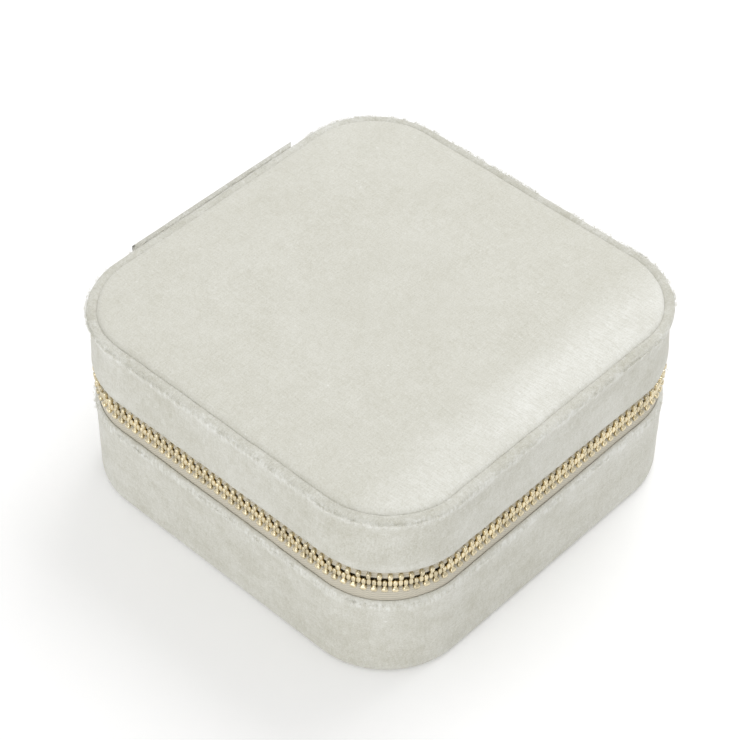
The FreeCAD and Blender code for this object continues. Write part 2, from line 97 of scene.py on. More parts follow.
def outline(distance, inset):
    """Point, outward normal and corner weight at a distance along the outline, for any inset."""
    side = HALF - CORNER
    left = distance % LOOP_LENGTH
    corner_middles = [None, (-side, side), None, (-side, -side), None, (side, -side), None, (side, side), None]
    normals = [(0, 1), None, (-1, 0), None, (0, -1), None, (1, 0), None, (0, 1)]
    starts = [(0, 1), None, (-1, 1), None, (-1, -1), None, (1, -1), None, (1, 1)]
    for number, length in enumerate(run_lengths()):
        if left <= length or number == 8:
            break
        left -= length
    shown = min(inset, LAST_INSET)
    if corner_middles[number] is None:
        nx, ny = normals[number]
        direction = (-ny, nx)
        sx, sy = starts[number]
        base_x = sx * side if nx == 0 else nx * HALF
        base_y = sy * side if ny == 0 else ny * HALF
        x = base_x + direction[0] * left - nx * shown
        y = base_y + direction[1] * left - ny * shown
        weight = 0.0
    else:
        turn = left / length
        angle = math.radians(90 * (number + 1) / 2 + 90 * turn)
        nx, ny = math.cos(angle), math.sin(angle)
        cx, cy = corner_middles[number]
        x = cx + nx * (CORNER - shown)
        y = cy + ny * (CORNER - shown)
        weight = math.sin(math.pi * turn)
    if inset > LAST_INSET:
        shrink = (HALF - inset) / (HALF - LAST_INSET)
        x, y = x * shrink, y * shrink
    return x, y, nx, ny, weight


def stations(spacing, start=0.0, end=None):
    """Distances along the outline: denser round the corners, evenly spaced within each run."""
    closed = end is None
    end = LOOP_LENGTH if closed else end
    marks = [start]
    passed = 0.0
    for number, length in enumerate(run_lengths()):
        step = spacing * (0.7 if number % 2 else 1.0)
        count = max(1, round(length / step))
        for index in range(1, count + 1):
            here = passed + length * index / count
            if start + 0.2 < here < end - 0.2:
                marks.append(here)
        passed += length
    if not closed:
        marks.append(end)
    return marks


def new_object(name, vertices, faces, smooth=True):
    mesh = bpy.data.meshes.new(name)
    mesh.from_pydata([Vector(v) * MM for v in vertices], [], faces)
    mesh.update()
    obj = bpy.data.objects.new(name, mesh)
    bpy.context.scene.collection.objects.link(obj)
    if smooth:
        mesh.shade_smooth()
    return obj


def tidy_mesh(obj, gap=1e-7):
    """Joins points that meet and makes the faces look outwards."""
    work = bmesh.new()
    work.from_mesh(obj.data)
    bmesh.ops.remove_doubles(work, verts=work.verts, dist=gap)
    loose = [v for v in work.verts if not v.link_faces]
    bmesh.ops.delete(work, geom=loose, context="VERTS")
    bmesh.ops.recalc_face_normals(work, faces=work.faces)
    work.to_mesh(obj.data)
    work.free()
    obj.data.shade_smooth()


def grid_faces(rows, columns, wrap_rows, wrap_columns):
    faces = []
    for r in range(rows if wrap_rows else rows - 1):
        for c in range(columns if wrap_columns else columns - 1):
            a = r * columns + c
            b = r * columns + (c + 1) % columns
            d = ((r + 1) % rows) * columns + c
            e = ((r + 1) % rows) * columns + (c + 1) % columns
            faces.append((a, d, e, b))
    return faces


def loft(name, section, marks, closed_path=True, closed_section=True):
    """Sweeps a section along the outline. section(distance) gives [(inset, z), ...]."""
    vertices = []
    columns = 0
    for mark in marks:
        points = section(mark)
        columns = len(points)
        for inset, z in points:
            x, y, *_ = outline(mark, inset)
            vertices.append((x, y, z))
    faces = grid_faces(len(marks), columns, closed_path, closed_section)
    if closed_section and not closed_path:
        last = (len(marks) - 1) * columns
        faces.append(tuple(range(columns)))
        faces.append(tuple(last + c for c in reversed(range(columns))))
    obj = new_object(name, vertices, faces)
    tidy_mesh(obj)
    return obj


def rounded(points, radii, steps=4):
    """A polyline in (inset, z) with its corners rounded; radii has one entry for each point."""
    result = []
    count = len(points)
    for index, (point, radius) in enumerate(zip(points, radii)):
        if radius <= 0:
            result.append(point)
            continue
        here = Vector(point)
        before = Vector(points[index - 1]) - here
        after = Vector(points[(index + 1) % count]) - here
        reach = min(radius, before.length * 0.49, after.length * 0.49)
        start = here + before.normalized() * reach
        end = here + after.normalized() * reach
        for step in range(steps + 1):
            t = step / steps
            result.append(tuple(start * (1 - t) ** 2 + here * 2 * t * (1 - t) + end * t * t))
    return result


def ripple(x, y, z, size, seed):
    """A smooth wander between about -1 and 1, with features of the size given in millimetres."""
    return noise.noise(Vector((x / size + seed, y / size - seed, z / size + 2 * seed))) * 1.6


def roughen(obj, amount, size, seed, where=None):
    """Moves points along their normals by a smooth wander, in millimetres."""
    mesh = obj.data
    normals = [v.normal.copy() for v in mesh.vertices]
    for vertex, normal in zip(mesh.vertices, normals):
        x, y, z = vertex.co / MM
        keep = 1.0 if where is None else where(x, y, z)
        vertex.co += normal * (ripple(x, y, z, size, seed) * amount * keep * MM)
    mesh.update()


def finish_piece(obj, material, body, slot, *nodes):
    obj.data.materials.clear()
    obj.data.materials.append(material)
    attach(obj, body)
    if nodes:
        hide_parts(*nodes)


# ---------------------------------------------------------------- shader groups

def group_with(name, inputs, outputs):
    group = bpy.data.node_groups.new(name, "ShaderNodeTree")
    for label, kind, default in inputs:
        socket = group.interface.new_socket(label, in_out="INPUT", socket_type=kind)
        socket.default_value = default
    for label, kind in outputs:
        group.interface.new_socket(label, in_out="OUTPUT", socket_type=kind)
    return group, group.nodes.new("NodeGroupInput"), group.nodes.new("NodeGroupOutput")


class Wiring:
    """Short calls for adding nodes to one tree."""

    def __init__(self, tree):
        self.tree = tree

    def link(self, source, target):
        self.tree.links.new(source, target)

    def node(self, kind, **settings):
        made = self.tree.nodes.new(kind)
        for key, value in settings.items():
            setattr(made, key, value)
        return made

    def feed(self, socket, value):
        if isinstance(value, bpy.types.NodeSocket):
            self.link(value, socket)
        else:
            socket.default_value = value

    def math(self, operation, a, b=0.0, clamp=False):
        made = self.node("ShaderNodeMath", operation=operation, use_clamp=clamp)
        self.feed(made.inputs[0], a)
        self.feed(made.inputs[1], b)
        return made.outputs[0]

    def mul(self, a, b):
        return self.math("MULTIPLY", a, b)

    def add(self, a, b, clamp=False):
        return self.math("ADD", a, b, clamp)

    def sub(self, a, b):
        return self.math("SUBTRACT", a, b)

    def position(self, scale, turn=0.0):
        """Object coordinates stretched by a scale on each axis, turned about Z first."""
        place = self.node("ShaderNodeTexCoord").outputs["Object"]
        if turn:
            turned = self.node("ShaderNodeMapping")
            turned.inputs["Rotation"].default_value = (0, 0, turn)
            self.link(place, turned.inputs["Vector"])
            place = turned.outputs[0]
        stretched = self.node("ShaderNodeMapping")
        stretched.inputs["Scale"].default_value = scale
        self.link(place, stretched.inputs["Vector"])
        return stretched.outputs[0]

    def noise(self, scale, detail=2.0, roughness=0.5, turn=0.0):
        made = self.node("ShaderNodeTexNoise")
        made.inputs["Scale"].default_value = 1.0
        made.inputs["Detail"].default_value = detail
        made.inputs["Roughness"].default_value = roughness
        self.link(self.position(scale, turn), made.inputs["Vector"])
        return made.outputs["Fac"]

    def ramp(self, value, low, high):
        """0 at low, 1 at high, smooth between."""
        made = self.node("ShaderNodeMapRange", interpolation_type="SMOOTHSTEP")
        self.feed(made.inputs["Value"], value)
        made.inputs["From Min"].default_value = low
        made.inputs["From Max"].default_value = high
        return made.outputs["Result"]

    def mix(self, factor, a, b):
        made = self.node("ShaderNodeMix", data_type="RGBA")
        self.feed(made.inputs["Factor"], factor)
        self.feed(made.inputs["A"], a)
        self.feed(made.inputs["B"], b)
        return made.outputs["Result"]


def velvet_group():
    """Short cut pile: fine crossed lay lines, soft mottling, brushed patches with a painted sheen near the front
    edge, painted highlights along the folds and a few bright tufts.
    """
    group, inlet, outlet = group_with(
        "Velvet pile",
        [
            ("Shade", "NodeSocketColor", (0.6, 0.6, 0.5, 1)),
            ("Brushed and Sheen", "NodeSocketColor", (0.8, 0.8, 0.76, 1)),
            ("Lay", "NodeSocketFloat", 0.5),
            ("Mottle", "NodeSocketFloat", 0.5),
            ("Edge Brushing and Sheen", "NodeSocketFloat", 0.0),
            ("Fold Tuft Highlight", "NodeSocketFloat", 0.0),
        ],
        [("Colour", "NodeSocketColor"), ("Roughness", "NodeSocketFloat"), ("Height", "NodeSocketFloat")],
    )
    w = Wiring(group)
    along_x = w.noise((420, 3300, 1800), 2.0, 0.65)
    along_y = w.noise((3300, 420, 1800), 2.0, 0.65)
    grain = w.noise((3300, 3300, 3300), 3.0, 0.75)
    slant = w.noise((1500, 1500, 520), 3.0, 0.7, turn=0.9)
    ribs = w.noise((1350, 520, 700), 1.0, 0.4)
    cloud = w.noise((130, 130, 170), 4.0, 0.6)
    broad = w.noise((26, 26, 34), 3.0, 0.55)
    lay = w.add(w.mul(along_x, 0.5), w.mul(along_y, 0.5))
    lay = w.add(w.mul(lay, 0.4), w.mul(grain, 0.6))
    lay = w.add(lay, w.mul(w.sub(ribs, 0.5), 0.07))
    lay = w.mul(w.sub(lay, 0.5), inlet.outputs["Lay"])
    patches = w.add(w.mul(cloud, 0.4), w.mul(broad, 0.3))
    patches = w.add(patches, w.mul(slant, 0.3))
    patches = w.mul(w.sub(patches, 0.5), inlet.outputs["Mottle"])
    # Pile brushed over towards the front edge, with a painted sheen: a bright swathe, stronger to the right, with
    # fine strokes square to the edge.
    place = w.node("ShaderNodeSeparateXYZ")
    w.link(w.node("ShaderNodeTexCoord").outputs["Object"], place.inputs[0])
    strokes = w.noise((4200, 420, 420), 3.0, 0.7, turn=-0.2)
    swathe = w.noise((46, 90, 60), 3.0, 0.55)
    near_front = w.ramp(place.outputs["Y"], -0.031, -0.0435)
    to_the_right = w.ramp(place.outputs["X"], -0.052, 0.022)
    brushed_and_sheen = w.mul(near_front, w.add(0.5, w.mul(to_the_right, 0.5)))
    brushed_and_sheen = w.mul(brushed_and_sheen, w.add(0.6, w.mul(w.ramp(swathe, 0.3, 0.62), 0.4)))
    brushed_and_sheen = w.mul(brushed_and_sheen, w.add(0.45, w.mul(w.ramp(strokes, 0.36, 0.64), 0.55)))
    brushed_and_sheen = w.mul(brushed_and_sheen, inlet.outputs["Edge Brushing and Sheen"])
    # Painted highlight along the folds: tufts that catch the light along the rim and along the base's shoulder,
    # painted as lighter bands.
    along_fold = w.noise((1500, 1500, 320), 3.0, 0.65)
    uneven = w.mul(w.sub(w.noise((420, 420, 90), 3.0, 0.6), 0.5), 0.0022)
    level = w.add(place.outputs["Z"], uneven)
    at_rim = w.mul(w.ramp(level, 0.0440, 0.0458), w.ramp(level, 0.0472, 0.0464))
    at_base = w.mul(w.ramp(level, 0.0198, 0.0212), w.ramp(level, 0.0228, 0.0220))
    tuft_highlight = w.mul(w.add(at_rim, at_base), w.ramp(along_fold, 0.34, 0.70))
    tuft_highlight = w.mul(tuft_highlight, inlet.outputs["Fold Tuft Highlight"])
    # Single bright tufts.
    cells = w.node("ShaderNodeTexVoronoi")
    cells.inputs["Scale"].default_value = 420.0
    w.link(w.node("ShaderNodeTexCoord").outputs["Object"], cells.inputs["Vector"])
    spots = w.sub(1.0, w.ramp(cells.outputs["Distance"], 0.05, 0.16))
    chosen = w.ramp(w.math("FRACT", w.mul(cells.outputs["Color"], 7.31)), 0.9, 0.95)
    spots = w.mul(w.mul(spots, chosen), 0.35)
    amount = w.add(w.add(lay, patches), 0.36)
    amount = w.add(w.add(amount, tuft_highlight), w.add(brushed_and_sheen, spots), clamp=True)
    w.link(w.mix(amount, inlet.outputs["Shade"], inlet.outputs["Brushed and Sheen"]), outlet.inputs["Colour"])
    w.link(w.sub(0.92, w.mul(amount, 0.18)), outlet.inputs["Roughness"])
    height = w.add(w.mul(grain, 0.45), w.mul(lay, 0.8))
    height = w.add(height, w.mul(slant, 0.35))
    w.link(height, outlet.inputs["Height"])
    return group


def metal_group():
    """Plated metal with soft handling marks."""
    group, inlet, outlet = group_with(
        "Plated metal",
        [("Bright", "NodeSocketColor", (0.8, 0.62, 0.36, 1)), ("Worn", "NodeSocketColor", (0.5, 0.36, 0.18, 1))],
        [("Colour", "NodeSocketColor"), ("Roughness", "NodeSocketFloat"), ("Height", "NodeSocketFloat")],
    )
    w = Wiring(group)
    smudge = w.noise((260, 260, 260), 4.0, 0.6)
    scratch = w.noise((5200, 700, 700), 2.0, 0.6, turn=0.5)
    amount = w.add(w.mul(smudge, 0.7), w.mul(scratch, 0.3))
    tone = w.ramp(amount, 0.30, 0.72)
    w.link(w.mix(tone, inlet.outputs["Bright"], inlet.outputs["Worn"]), outlet.inputs["Colour"])
    w.link(w.add(0.10, w.mul(amount, 0.24)), outlet.inputs["Roughness"])
    w.link(amount, outlet.inputs["Height"])
    return group


def weave_group():
    """Plain weave: two crossed sets of threads, with slight unevenness."""
    group, inlet, outlet = group_with(
        "Woven cloth",
        [
            ("Thread", "NodeSocketColor", (0.8, 0.78, 0.68, 1)),
            ("Between", "NodeSocketColor", (0.5, 0.47, 0.38, 1)),
            ("Threads per Metre", "NodeSocketFloat", 2200.0),
        ],
        [("Colour", "NodeSocketColor"), ("Roughness", "NodeSocketFloat"), ("Height", "NodeSocketFloat")],
    )
    w = Wiring(group)
    place = w.node("ShaderNodeSeparateXYZ")
    w.link(w.node("ShaderNodeTexCoord").outputs["Object"], place.inputs[0])
    turn = w.mul(inlet.outputs["Threads per Metre"], 2 * math.pi)
    round_box = w.add(place.outputs["X"], place.outputs["Y"])
    warp = w.math("SINE", w.mul(round_box, turn))
    weft = w.math("SINE", w.mul(place.outputs["Z"], turn))
    cloth = w.add(0.5, w.mul(w.mul(warp, weft), 0.5))
    fuzz = w.noise((1800, 1800, 1800), 3.0, 0.65)
    level = w.add(w.mul(cloth, 0.6), w.mul(fuzz, 0.4))
    colour = w.mix(w.ramp(level, 0.15, 0.75), inlet.outputs["Between"], inlet.outputs["Thread"])
    w.link(colour, outlet.inputs["Colour"])
    w.link(w.sub(0.95, w.mul(level, 0.15)), outlet.inputs["Roughness"])
    w.link(level, outlet.inputs["Height"])
    return group


def surface_material(name, group, values, relief, sheen=0.0, metallic=0.0, specular=0.5, sheen_roughness=0.5,
                     sheen_tint=(1, 1, 1, 1)):
    material = bpy.data.materials.new(name)
    material.use_nodes = True
    nodes, links = material.node_tree.nodes, material.node_tree.links
    shader = nodes["Principled BSDF"]
    placed = nodes.new("ShaderNodeGroup")
    placed.node_tree = group
    for label, value in values.items():
        placed.inputs[label].default_value = value
    links.new(placed.outputs["Colour"], shader.inputs["Base Color"])
    links.new(placed.outputs["Roughness"], shader.inputs["Roughness"])
    bump = nodes.new("ShaderNodeBump")
    bump.inputs["Strength"].default_value = relief[0]
    bump.inputs["Distance"].default_value = relief[1] * MM
    links.new(placed.outputs["Height"], bump.inputs["Height"])
    links.new(bump.outputs["Normal"], shader.inputs["Normal"])
    shader.inputs["Metallic"].default_value = metallic
    shader.inputs["Specular IOR Level"].default_value = specular
    shader.inputs["Sheen Weight"].default_value = sheen
    shader.inputs["Sheen Roughness"].default_value = sheen_roughness
    shader.inputs["Sheen Tint"].default_value = sheen_tint
    return material


def dimmer(colour, factor):
    return tuple(c * factor for c in colour[:3]) + (1.0,)


MATERIALS = {}


def make_materials(settings):
    velvet = velvet_group()
    metal = metal_group()
    weave = weave_group()
    shade = tuple(settings.velvet_shade) + (1.0,)
    brushed_and_sheen = tuple(settings.velvet_brushed) + (1.0,)

    # The edge amount paints brushing with a sheen near the front edge; the tufts amount paints highlights along
    # the rim and the base's shoulder.
    def cloth(name, lay, mottle, edge, tuft_highlight=0.0, darker=1.0, sheen=0.25, relief=(0.55, 0.22)):
        return surface_material(
            name, velvet,
            {
                "Shade": dimmer(shade, darker), "Brushed and Sheen": dimmer(brushed_and_sheen, darker),
                "Lay": lay, "Mottle": mottle, "Edge Brushing and Sheen": edge, "Fold Tuft Highlight": tuft_highlight,
            },
            relief, sheen=sheen, specular=0.12,
        )

    # The top panel's velvet is painted 6.5 per cent lighter than the side velvet: painted light on the top; 0.62
    # paints its sheen near the front edge.
    MATERIALS["panel"] = cloth("Panel velvet", 1.9, 0.7, 0.62, darker=1.065)
    # Side velvet: painted highlights along the rim and the base's shoulder, at 0.55.
    MATERIALS["band"] = cloth("Side velvet", 2.1, 2.0, 0.0, tuft_highlight=0.55)
    MATERIALS["lining"] = cloth("Lining velvet", 1.0, 1.2, 0.0, darker=0.94)
    # The loose fibres are painted 1.36 times as light as the velvet: a painted highlight where they catch the
    # light.
    MATERIALS["fibre"] = cloth("Pile fibre", 0.4, 0.4, 0.0, darker=1.36, sheen=0.5)
    MATERIALS["tape"] = surface_material(
        "Zip tape", weave,
        {
            "Thread": tuple(settings.tape_colour) + (1.0,),
            "Between": dimmer(tuple(settings.tape_colour), 0.72),
            "Threads per Metre": 1500.0,
        },
        (0.5, 0.12), sheen=0.1, specular=0.2,
    )
    MATERIALS["gold"] = surface_material(
        "Gold plating", metal,
        {"Bright": tuple(settings.metal_colour) + (1.0,), "Worn": dimmer(tuple(settings.metal_colour), 0.55)},
        (0.25, 0.02), metallic=1.0,
    )
    board = weave
    MATERIALS["board"] = surface_material(
        "Greyboard", board,
        {"Thread": (0.33, 0.30, 0.25, 1), "Between": (0.24, 0.22, 0.18, 1), "Threads per Metre": 310.0},
        (0.3, 0.1), specular=0.2,
    )
    glass = surface_material(
        "Mirror glass", metal, {"Bright": (0.93, 0.94, 0.95, 1), "Worn": (0.86, 0.88, 0.9, 1)},
        (0.0, 0.01), metallic=1.0,
    )
    shader = glass.node_tree.nodes["Principled BSDF"]
    for link in list(shader.inputs["Roughness"].links):
        glass.node_tree.links.remove(link)
    shader.inputs["Roughness"].default_value = 0.02
    MATERIALS["mirror"] = glass


# ---------------------------------------------------------------- settings

class JewelryBoxSettings(bpy.types.PropertyGroup):
    velvet_shade: FloatVectorProperty(
        name="Velvet, Lay Away", description="Velvet colour where the pile leans away",
        subtype="COLOR", size=3, default=(0.515, 0.503, 0.424), min=0, max=1)
    velvet_brushed: FloatVectorProperty(
        name="Velvet, Lay Towards", description="Velvet colour where the pile leans towards the light",
        subtype="COLOR", size=3, default=(0.79, 0.79, 0.745), min=0, max=1)
    tape_colour: FloatVectorProperty(
        name="Zip Tape", description="Colour of the woven zip tape",
        subtype="COLOR", size=3, default=(0.60, 0.56, 0.46), min=0, max=1)
    metal_colour: FloatVectorProperty(
        name="Zip Metal", description="Colour of the plated teeth and slider",
        subtype="COLOR", size=3, default=(0.88, 0.77, 0.53), min=0, max=1)
    crown: FloatProperty(
        name="Panel Crown", description="How far the padded panel rises over its seam, in millimetres",
        default=2.0, min=0.5, max=2.4)
    fibre_length: FloatProperty(
        name="Pile Length", description="Length of the longest loose fibres on the edges, in millimetres",
        default=0.75, min=0.1, max=1.5)
    fibres_per_mm: FloatProperty(
        name="Fibres per Millimetre", description="Loose fibres along each millimetre of a velvet edge",
        default=9.0, min=0, max=30)
    teeth_bevel: FloatProperty(
        name="Tooth Rounding", description="Rounding of the edges of a zip tooth, in millimetres",
        default=0.16, min=0.02, max=0.25)


def settings_of(context):
    return context.scene.jewelry_box


# ---------------------------------------------------------------- shared pieces

def bevelled_copy(node, name, width, segments=2):
    """A CAD node's shape with its edges eased, as a piece of its own."""
    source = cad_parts[node]
    mesh = source.data.copy()
    obj = bpy.data.objects.new(name, mesh)
    bpy.context.scene.collection.objects.link(obj)
    work = bmesh.new()
    work.from_mesh(mesh)
    bmesh.ops.remove_doubles(work, verts=work.verts, dist=1e-6)
    bmesh.ops.dissolve_limit(work, angle_limit=math.radians(1.5), verts=work.verts, edges=work.edges)
    sharp = [e for e in work.edges if len(e.link_faces) == 2 and e.calc_face_angle(0) > math.radians(25)]
    bmesh.ops.bevel(
        work, geom=sharp, offset=width * MM, offset_type="OFFSET", segments=segments, profile=0.6,
        affect="EDGES", clamp_overlap=True)
    bmesh.ops.recalc_face_normals(work, faces=work.faces)
    work.to_mesh(mesh)
    work.free()
    mesh.shade_smooth()
    mesh.set_sharp_from_angle(angle=math.radians(50))
    return obj


def fibres(name, seed, count, place, length, thick=0.10):
    """Fine tapered fibres. place(rng) gives a root point and the direction the fibre leans."""
    rng = random.Random(seed)
    vertices, faces = [], []
    for _ in range(count):
        root, lean = place(rng)
        lean = lean.normalized()
        side = lean.orthogonal().normalized()
        side.rotate(Matrix.Rotation(rng.uniform(0, 6.28), 3, lean))
        other = lean.cross(side)
        long = length * rng.uniform(0.35, 1.0)
        bend = side * rng.uniform(-0.35, 0.35) * long
        base = len(vertices)
        half = thick * rng.uniform(0.6, 1.0) / 2
        for share, width in ((0.0, 1.0), (0.55, 0.8)):
            middle = root + lean * long * share + bend * share * share
            for turn in (0, 2.094, 4.189):
                vertices.append(middle + (side * math.cos(turn) + other * math.sin(turn)) * half * width)
        vertices.append(root + lean * long + bend)
        faces.append((base, base + 2, base + 1))
        for k in range(3):
            n = (k + 1) % 3
            faces.append((base + k, base + n, base + 3 + n, base + 3 + k))
            faces.append((base + 3 + k, base + 3 + n, base + 6))
    return new_object(name, vertices, faces)


# ---------------------------------------------------------------- lid

def seam_valley(distance):
    """A little unevenness of the stitched seam, in millimetres."""
    x, y, *_ = outline(distance, 2.5)
    return 0.12 * ripple(x, y, 0, 7.0, 3.1)


def lid_cover_section(distance):
    x, y, _, _, weight = outline(distance, 0.0)
    wander = ripple(x, y, 40, 11.0, 1.7)
    fine = ripple(x, y, 40, 2.6, 5.2)
    seam = 2.42 + seam_valley(distance)
    low = 31.45 + 0.14 * wander + 0.10 * fine - 0.15 * weight
    points = [
        (1.25, low + 0.6),
        (1.18, low + 0.1),
        (0.92 + 0.1 * weight, low),
        (0.5 + 0.12 * weight, low + 0.75),
        (0.24 + 0.08 * weight, low + 2.1 + 0.2 * fine),
        (0.36 + 0.15 * weight, 37.5),
        (0.42 + 0.32 * weight, 41.5),
        (0.44 + 0.36 * weight, 43.6),
        (0.30 + 0.18 * weight, 45.1),
        (0.06 + 0.06 * fine, 46.0 + 0.06 * wander),
        (0.22 + 0.05 * fine, 46.72 + 0.05 * wander),
        (0.80, 47.06 + 0.06 * wander),
        (1.45, 47.12 + 0.05 * fine),
        (2.05, 47.04 + 0.04 * wander),
        (seam + 0.1, 46.84),
        (seam + 0.6, 46.78),
        (seam + 0.6, 45.75),
        (1.25, 45.7),
    ]
    radii = [0, 0.1, 0.35, 0.6, 1, 2, 1.5, 1, 0.9, 0.6, 0.5, 0.5, 0.5, 0.5, 0.15, 0.1, 0, 0]
    return rounded(points, radii, 3)


def dome(inset, crown):
    """Height of the padded panel over the card, for a distance from its seam."""
    near = inset - 2.62
    if near <= 0:
        return 46.86
    rise = 1 - math.exp(-near / 0.42)
    swell = 1 - math.exp(-near / 9.0)
    return 46.88 + 0.8 * rise + (crown - 0.35) * swell + 0.1 * min(near / 40, 1)


def panel_section(distance, crown):
    seam = 2.4 + 0.9 * seam_valley(distance)
    insets = [seam + d for d in (0.0, 0.1, 0.25, 0.45, 0.75, 1.1, 1.6, 2.2, 3.0, 4.0, 5.2, 6.6, 8.2)]
    insets += [LAST_INSET + (HALF - LAST_INSET) * k / 22 for k in range(0, 23)]
    top = [(inset, dome(inset - seam + 2.6, crown)) for inset in insets]
    below = [(HALF, 46.81), (LAST_INSET, 46.81), (4.0, 46.81), (seam + 0.35, 46.81)]
    return top + below


class JEWELRYBOX_OT_materials(bpy.types.Operator):
    """Make the velvet, tape, metal, board and mirror materials"""
    bl_idname = "jewelry_box.materials"
    bl_label = "Materials"

    def execute(self, context):
        make_materials(settings_of(context))
        for node in ("base_shell", "base_collar", "lid_shell", "lid_collar", "lid_panel_board"):
            give_material(node, "board")
        give_material("mirror", "mirror")
        return {"FINISHED"}


def give_material(node, name):
    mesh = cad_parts[node].data
    mesh.materials.clear()
    mesh.materials.append(MATERIALS[name])


class JEWELRYBOX_OT_lid_cover(bpy.types.Operator):
    """Make the lid's velvet band and rolled rim"""
    bl_idname = "jewelry_box.lid_cover"
    bl_label = "Lid Velvet"

    def execute(self, context):
        cover = loft("lid_velvet", lid_cover_section, stations(0.9))
        roughen(cover, 0.05, 3.0, 2.2)
        finish_piece(cover, MATERIALS["band"], "lid", "velvet", "lid_side_cover")
        return {"FINISHED"}


class JEWELRYBOX_OT_panel(bpy.types.Operator):
    """Make the padded panel on top of the lid"""
    bl_idname = "jewelry_box.panel"
    bl_label = "Padded Panel"

    def execute(self, context):
        crown = settings_of(context).crown
        pad = loft("lid_panel", lambda s: panel_section(s, crown), stations(0.9))
        roughen(pad, 0.07, 16.0, 6.4, lambda x, y, z: 1.0 if z > 47.4 else 0.0)
        roughen(pad, 0.025, 4.0, 9.1, lambda x, y, z: 1.0 if z > 47.4 else 0.0)
        finish_piece(pad, MATERIALS["panel"], "lid", "velvet", "lid_top_panel")
        return {"FINISHED"}


# ---------------------------------------------------------------- base

def base_cover_section(distance):
    x, y, _, _, weight = outline(distance, 0.0)
    wander = ripple(x, y, 10, 11.0, 4.7)
    fine = ripple(x, y, 10, 2.6, 8.2)
    top = 23.0 + 0.12 * wander + 0.07 * fine - 0.15 * weight
    points = [
        (1.25, top - 1.6),
        (1.24, top - 0.45),
        (1.10, top - 0.05),
        (0.55, top - 0.35 - 0.35 * weight),
        (0.20 + 0.06 * fine, top - 1.75 - 0.5 * weight),
        (0.34, top - 3.6),
        (0.42, 16.0),
        (0.42, 12.0),
        (0.42, 8.0),
        (0.42, 4.0),
        (0.40, 1.6),
        (0.75, 0.55),
        (1.5, 0.32),
        (2.55, 0.35),
        (2.6, 1.15),
        (1.25, 1.18),
    ]
    radii = [0, 0.2, 0.3, 0.5, 0.6, 1, 1, 1, 1, 1, 0.8, 0.5, 0.4, 0.15, 0, 0]
    return rounded(points, radii, 3)


def under_panel_section(distance):
    flat = [(HALF, 0.0)] + [(LAST_INSET + (HALF - LAST_INSET) * k / 8, 0.0) for k in range(7, -1, -1)]
    edge = [(6.0, 0.0), (3.5, 0.02), (3.02, 0.12), (2.85, 0.4), (2.85, 0.9), (3.0, 1.17)]
    return flat + edge + [(6.0, 1.19), (LAST_INSET, 1.19), (HALF, 1.19)]


class JEWELRYBOX_OT_base_cover(bpy.types.Operator):
    """Make the base's velvet band and the panel underneath"""
    bl_idname = "jewelry_box.base_cover"
    bl_label = "Base Velvet"

    def execute(self, context):
        cover = loft("base_velvet", base_cover_section, stations(0.9))
        roughen(cover, 0.05, 3.0, 7.2, lambda x, y, z: min(1.0, max(0.0, (z - 0.8) / 2)))
        finish_piece(cover, MATERIALS["band"], "base", "velvet", "base_side_cover")
        under = loft("under_panel", under_panel_section, stations(2.0))
        finish_piece(under, MATERIALS["band"], "base", "velvet", "base_bottom_panel")
        return {"FINISHED"}


# ---------------------------------------------------------------- zip

def zip_ends():
    """Where the tapes and the chain start and end along the outline."""
    return ZIP_END_X, LOOP_LENGTH - ZIP_END_X


def tape_section(edge_z, far_z):
    """Tape 0.6 thick with a corded edge next to the teeth."""
    up = 1 if far_z > edge_z else -1
    cord = 0.42
    points = [
        (1.2, far_z), (1.2, edge_z + up * 1.0), (1.12, edge_z + up * 0.6), (1.22, edge_z + up * 0.12),
        (1.5, edge_z), (1.78, edge_z + up * 0.12), (1.88, edge_z + up * cord), (1.8, edge_z + up * 1.0),
        (1.8, far_z),
    ]
    return points


def tooth_mesh(bevel, long_leg):
    """One tooth pointing up: X along the chain, Y outwards, Z from the zip's middle.

    A leg with a round foot, and a wider, thinner head that meshes with the row opposite. Teeth with a
    long leg stand out under the lid's edge; the others keep inside the slider."""
    if long_leg:
        leg = [(0.20, -3.02, 0.86), (0.40, -2.88, 1.10), (0.50, -2.55, 1.20), (0.50, -2.15, 1.20),
               (0.44, -1.70, 1.12), (0.34, -1.25, 0.86), (0.28, -0.96, 0.60)]
    else:
        leg = [(0.34, -2.20, 0.78), (0.56, -2.10, 0.96), (0.66, -1.86, 1.06), (0.68, -1.55, 1.08),
               (0.62, -1.30, 1.00), (0.46, -1.08, 0.82), (0.34, -0.92, 0.64)]
    head = [(0.36, -0.74, 0.60), (0.48, -0.46, 0.68), (0.49, 0.10, 0.70), (0.46, 0.40, 0.68),
            (0.34, 0.66, 0.62), (0.14, 0.79, 0.52)]
    side = leg + head
    work = bmesh.new()
    loops = []
    for half, z, depth in side:
        round_x = min(bevel * 1.6, half * 0.8)
        round_y = min(bevel * 1.6, depth * 0.5)
        quarter = [(half, depth - round_y), (half - 0.3 * round_x, depth - 0.3 * round_y), (half - round_x, depth)]
        ring = quarter + [(-x, y) for x, y in reversed(quarter)]
        ring += [(-x, -y) for x, y in quarter] + [(x, -y) for x, y in reversed(quarter)]
        loops.append([work.verts.new((x, y, z)) for x, y in ring])
    for lower, upper in zip(loops, loops[1:]):
        for k in range(len(lower)):
            n = (k + 1) % len(lower)
            work.faces.new((lower[k], lower[n], upper[n], upper[k]))
    work.faces.new(list(reversed(loops[0])))
    work.faces.new(loops[-1])
    work.verts.index_update()
    vertices = [v.co.copy() for v in work.verts]
    faces = [[v.index for v in f.verts] for f in work.faces]
    work.free()
    return vertices, faces


